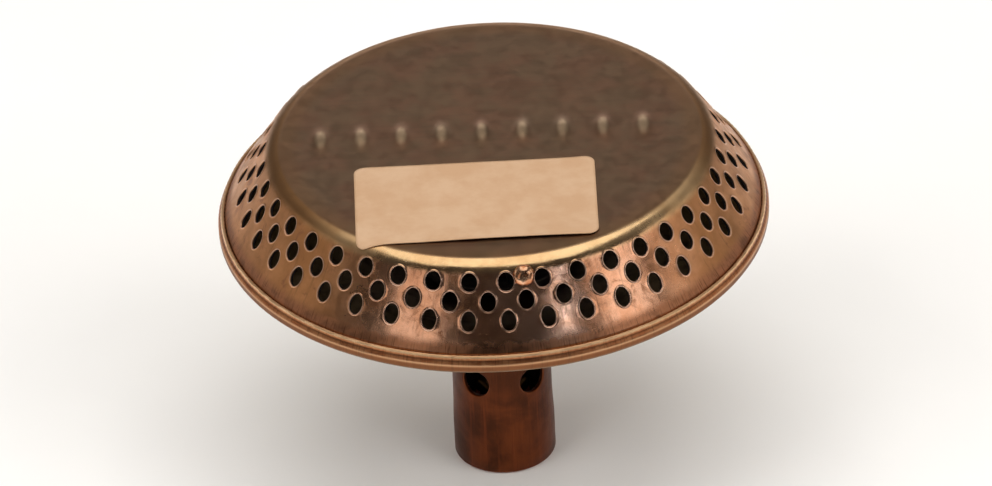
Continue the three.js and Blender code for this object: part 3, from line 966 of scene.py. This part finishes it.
def hem_plate():
    """The pan: the same plate, browner, with a rubbed bare cut edge lightened by a painted highlight, a painted
    highlight along the hem's bead, painted shade in the groove under the cut edge and towards the hem's underside,
    and olive heat tint underneath.
    """
    paint = Paint("hem_plate", Metallic=1.0)
    bright = paint.bright()
    patches = paint.noise(0.35, 5.0, 0.62, distortion=0.5)
    specks = paint.noise(2.4, 4.0, 0.7)
    ticks = paint.streaks(230.0, 0.3, 2.0, 0.5)
    rings = paint.rings(1.6, 3.2)
    under = paint.span(paint.height, HEM_HEIGHT - 0.4, HEM_HEIGHT - 1.3)
    heat = paint.span(paint.radius, 8.0, 32.0)

    band = paint.lay(rgb(186, 116, 76), rgb(206, 144, 100), patches, 0.35, 0.66)
    # Painted shade: the band darkens towards the bottom, where the rolled hem turns under.
    lower = paint.span(paint.height, HEM_HEIGHT + 0.9, HEM_HEIGHT - 0.1)
    band = paint.mix(lower, band, rgb(126, 82, 54))
    band = paint.lay(band, rgb(98, 66, 48), ticks, 0.5, 0.74, 0.5)
    below = paint.mix(heat, rgb(112, 92, 84), rgb(150, 122, 78))
    below = paint.lay(below, rgb(94, 68, 50), patches, 0.5, 0.72, 0.7)
    colour = paint.mix(under, band, below)
    # Painted highlight where the brightness is positive, painted shade where it is negative.
    colour = paint.mix(bright, colour, rgb(252, 214, 168))
    colour = paint.mix(paint.times(bright, -1.0), colour, rgb(86, 52, 34))
    roughness = paint.plus(paint.span(patches, 0.3, 0.7, 0.36, 0.5), paint.times(under, 0.06))
    return paint.finish(colour, roughness, [
        (ticks, 0.04, 0.6), (rings, 0.02, 0.4), (specks, 0.015, 0.4),
    ])


# Painted shade with soot: the inside of the head, the port throats and the tube's bore are made near black.
def shade_soot_plate():
    paint = Paint("shade_soot_plate", Metallic=0.35)
    soot = paint.noise(0.9, 4.0, 0.65)
    grain = paint.noise(5.0, 3.0, 0.6)
    colour = paint.lay(rgb(26, 22, 20), rgb(48, 36, 30), soot, 0.35, 0.7)
    return paint.finish(colour, paint.span(grain, 0.3, 0.7, 0.7, 0.9), [(grain, 0.03, 0.6)])


def browned_copper():
    """The tube: copper browned by heat, with worn streaks along it."""
    paint = Paint("browned_copper", Metallic=0.85)
    bright = paint.bright()
    clouds = paint.noise(0.13, 4.0, 0.6, distortion=0.4)
    streaks = paint.streaks(9.0, 0.05, 4.0, 0.62)
    fine = paint.streaks(60.0, 0.22)
    specks = paint.noise(2.2, 4.0, 0.7)
    colour = paint.lay(rgb(76, 38, 18), rgb(112, 56, 26), clouds, 0.34, 0.66)
    colour = paint.lay(colour, rgb(136, 66, 32), streaks, 0.46, 0.76, 0.5)
    colour = paint.lay(colour, rgb(56, 29, 16), fine, 0.5, 0.75, 0.3)
    near_ports = paint.span(paint.height, AIR_PORT_HEIGHT - 4.5, AIR_PORT_HEIGHT + 1.5, 0, 0.45)
    colour = paint.mix(paint.times(near_ports, paint.span(clouds, 0.3, 0.6)), colour, rgb(34, 20, 12))
    colour = paint.lay(colour, rgb(44, 28, 18), specks, 0.62, 0.8, 0.5)
    colour = paint.mix(bright, colour, rgb(190, 110, 68))
    roughness = paint.span(clouds, 0.3, 0.7, 0.5, 0.36)
    return paint.finish(colour, roughness, [(fine, 0.03, 0.5), (specks, 0.02, 0.4), (clouds, 0.2, 0.3)])


def bright_copper():
    paint = Paint("bright_copper", Metallic=1.0)
    clouds = paint.noise(0.9, 4.0, 0.6)
    specks = paint.noise(4.5, 4.0, 0.7)
    colour = paint.lay(rgb(244, 196, 160), rgb(196, 128, 88), clouds, 0.38, 0.66)
    colour = paint.lay(colour, rgb(120, 76, 52), specks, 0.6, 0.8, 0.5)
    return paint.finish(colour, paint.span(specks, 0.35, 0.7, 0.16, 0.32), [(specks, 0.03, 0.5)])


def dull_steel():
    paint = Paint("dull_steel", Metallic=0.9)
    clouds = paint.noise(0.3, 4.0, 0.6)
    rings = paint.rings(2.0, 5.0)
    specks = paint.noise(3.0, 4.0, 0.7)
    colour = paint.lay(rgb(98, 90, 84), rgb(132, 120, 110), clouds, 0.35, 0.65)
    colour = paint.lay(colour, rgb(72, 52, 42), specks, 0.6, 0.8, 0.6)
    return paint.finish(colour, paint.span(clouds, 0.3, 0.7, 0.38, 0.55), [(rings, 0.02, 0.5), (specks, 0.02, 0.4)])


def turned_brass(name, light, dark):
    paint = Paint(name, Metallic=1.0)
    clouds = paint.noise(0.5, 4.0, 0.6)
    rings = paint.rings(1.2, 9.0)
    specks = paint.noise(3.4, 4.0, 0.7)
    colour = paint.lay(light, dark, clouds, 0.36, 0.66)
    colour = paint.lay(colour, rgb(98, 70, 34), specks, 0.62, 0.8, 0.5)
    return paint.finish(colour, paint.span(clouds, 0.3, 0.7, 0.24, 0.4), [(rings, 0.015, 0.6), (specks, 0.015, 0.3)])


def red_fibre():
    paint = Paint("red_fibre", Metallic=0.0)
    threads = paint.noise(1.0, 5.0, 0.7, paint.vector("MULTIPLY", paint.place, (2.0, 7.0, 4.0)))
    clouds = paint.noise(0.8, 3.0, 0.6)
    colour = paint.lay(rgb(150, 62, 44), rgb(112, 40, 30), threads, 0.35, 0.7)
    return paint.finish(colour, paint.span(clouds, 0.3, 0.7, 0.72, 0.88), [(threads, 0.03, 0.6)])


def sintered_bronze():
    paint = Paint("sintered_bronze", Metallic=0.9)
    cells = paint.node("ShaderNodeTexVoronoi", {"Vector": paint.place, "Scale": 5.0}).outputs["Distance"]
    clouds = paint.noise(1.2, 4.0, 0.6)
    colour = paint.lay(rgb(176, 130, 76), rgb(84, 58, 34), cells, 0.1, 0.7)
    return paint.finish(colour, paint.span(clouds, 0.3, 0.7, 0.55, 0.75), [(cells, 0.1, 0.8)])


def label_paper():
    """Uncoated paper gone tan, with fibres, faint soiling and darker handled edges."""
    paint = Paint("label_paper", Metallic=0.0, Specular_IOR_Level=0.25)
    clouds = paint.noise(0.16, 4.0, 0.6)
    mottle = paint.noise(1.1, 5.0, 0.7)
    fibres = paint.noise(1.0, 5.0, 0.75, paint.vector("MULTIPLY", paint.place, (1.2, 7.0, 3.0)), 0.8)
    colour = paint.lay(rgb(194, 161, 130), rgb(186, 150, 117), clouds, 0.34, 0.66)
    colour = paint.lay(colour, rgb(176, 143, 112), fibres, 0.5, 0.8, 0.35)
    colour = paint.lay(colour, rgb(160, 126, 96), mottle, 0.66, 0.8, 0.4)
    middle = Vector(((label_low.x + label_high.x) / 2, (label_low.y + label_high.y) / 2))
    off_x = paint.math("ABSOLUTE", paint.math("SUBTRACT", paint.x, middle.x))
    off_y = paint.math("ABSOLUTE", paint.math("SUBTRACT", paint.y, middle.y))
    half_x, half_y = (label_high.x - label_low.x) / 2, (label_high.y - label_low.y) / 2
    near_end, near_side = paint.span(off_x, half_x - 0.5, half_x), paint.span(off_y, half_y - 0.5, half_y)
    rim = paint.math("MAXIMUM", near_end, near_side)
    colour = paint.mix(paint.times(rim, 0.35), colour, rgb(176, 140, 104))
    return paint.finish(colour, paint.span(mottle, 0.3, 0.7, 0.78, 0.92), [(fibres, 0.03, 0.5), (mottle, 0.04, 0.4)])


def pale_floor():
    paint = Paint("pale_floor", Metallic=0.0, Specular_IOR_Level=0.1)
    clouds = paint.noise(0.02, 3.0, 0.5)
    colour = paint.lay(rgb(243, 242, 240), rgb(240, 239, 237), clouds, 0.3, 0.7)
    return paint.finish(colour, paint.span(clouds, 0.3, 0.7, 0.85, 0.95), [(clouds, 0.01, 0.1)])


# The model

plate, shade_soot, hem = tarnished_plate(), shade_soot_plate(), hem_plate()
copper, shiny, steel = browned_copper(), bright_copper(), dull_steel()
brass = turned_brass("turned_brass", rgb(120, 92, 54), rgb(84, 62, 38))
wire = turned_brass("brass_wire", rgb(200, 160, 92), rgb(150, 112, 60))

burner_cap([plate, shade_soot])
burner_pan([hem])
mixing_tube([copper, shade_soot])
seat_ring([steel])
woven_gauze([wire])
domed_rivet([shiny])
jet_holder([brass])
gas_jet([brass])
jet_washer([red_fibre()])
jet_filter([sintered_bronze()])
paper_label([label_paper()])
for slot in frame["nodes"]["gas_baffle"].material_slots:
    slot.material = steel


# Floor, light and camera

def floor():
    mesh = bpy.data.meshes.new("studio_floor")
    half = 3.0
    level = tube_low.z * MM - 0.0002
    corners = [(-half, -half, level), (half, -half, level), (half, half, level), (-half, half, level)]
    mesh.from_pydata(corners, [], [(0, 1, 2, 3)])
    mesh.materials.append(pale_floor())
    made = bpy.data.objects.new("studio_floor", mesh)
    bpy.context.scene.collection.objects.link(made)


TARGET = Vector((0, 0, 0.05))


def card(name, azimuth, elevation, distance, width, height, watts, colour=(1, 1, 1), glossy=True):
    """A rectangular studio light at some azimuth and elevation, facing the torch."""
    data = bpy.data.lights.new(name, "AREA")
    data.shape = "RECTANGLE"
    data.size, data.size_y = width, height
    data.energy = watts
    data.color = colour
    made = bpy.data.objects.new(name, data)
    bpy.context.scene.collection.objects.link(made)
    flat = math.cos(math.radians(elevation))
    made.location = TARGET + around(azimuth, flat, math.sin(math.radians(elevation))) * distance
    made.rotation_euler = (TARGET - made.location).to_track_quat("-Z", "Y").to_euler()
    made.visible_camera = False
    made.visible_glossy = glossy


def world():
    """A dim room: warmer and lighter behind and overhead, dark in front."""
    made = bpy.data.worlds.new("studio")
    made.use_nodes = True
    tree = made.node_tree
    background = tree.nodes["Background"]
    place = tree.nodes.new("ShaderNodeTexCoord")
    upward = tree.nodes.new("ShaderNodeVectorMath")
    upward.operation = "DOT_PRODUCT"
    upward.inputs[1].default_value = (0.0, 0.6, 0.7)
    tree.links.new(place.outputs["Generated"], upward.inputs[0])
    ramp = tree.nodes.new("ShaderNodeMapRange")
    ramp.interpolation_type = "SMOOTHSTEP"
    ramp.inputs["From Min"].default_value = 0.1
    ramp.inputs["From Max"].default_value = 0.9
    ramp.inputs["To Min"].default_value = 0.04
    ramp.inputs["To Max"].default_value = 0.17
    tree.links.new(upward.outputs["Value"], ramp.inputs["Value"])
    tree.links.new(ramp.outputs["Result"], background.inputs["Strength"])
    background.inputs["Color"].default_value = (1.0, 0.94, 0.88, 1.0)
    bpy.context.scene.world = made


def camera():
    middle = Vector((0, 0, TOP_ROW_HEIGHT * MM))
    distance = 1.5189
    elevation = math.radians(33.47)
    roll = -0.0511
    right = Vector((1, 0, 0))
    up = Vector((0, math.sin(elevation), math.cos(elevation)))
    back = Vector((0, -math.cos(elevation), math.sin(elevation)))
    frame_right = math.cos(roll) * right + math.sin(roll) * up
    frame_up = -math.sin(roll) * right + math.cos(roll) * up
    place = middle + distance * back
    target = middle + 0.000834 * frame_right - 0.013982 * frame_up
    backwards = (place - target).normalized()
    side = frame_up.cross(backwards).normalized()
    above = backwards.cross(side)
    turn = Matrix((side, above, backwards)).transposed().to_4x4()
    data = bpy.data.cameras.new("camera")
    data.sensor_width = 36
    data.lens = 356.2
    data.clip_end = 20
    made = bpy.data.objects.new("camera", data)
    made.matrix_world = Matrix.Translation(place) @ turn
    bpy.context.scene.collection.objects.link(made)
    bpy.context.scene.camera = made


floor()
world()
camera()
card("overhead_fill", 0, 82, 1.6, 1.6, 1.6, 13, glossy=False)
card("left_fill", -60, 36, 1.6, 1.2, 1.2, 12, glossy=False)
card("right_fill", 60, 36, 1.6, 1.2, 1.2, 12, glossy=False)
card("overhead_card", 178, 84, 1.2, 1.2, 1.2, 4.8, (1.0, 0.95, 0.88))
card("left_card", -36, 26, 1.1, 0.4, 0.36, 0.4, (1.0, 0.93, 0.86))
card("right_card", 56, 27, 1.1, 0.42, 0.4, 0.66, (1.0, 0.94, 0.88))
card("far_left_card", -95, 22, 1.3, 0.7, 0.5, 0.75, (1.0, 0.9, 0.78))
card("far_right_card", 92, 22, 1.3, 0.7, 0.5, 1.0, (1.0, 0.9, 0.78))
card("cool_window", 29, 30, 1.1, 0.07, 0.12, 0.12, (0.72, 0.84, 1.0))
card("back_card", 180, 14, 1.4, 0.7, 0.3, 0.8, (1.0, 0.96, 0.92))
bpy.context.scene.view_settings.view_transform = "Standard"
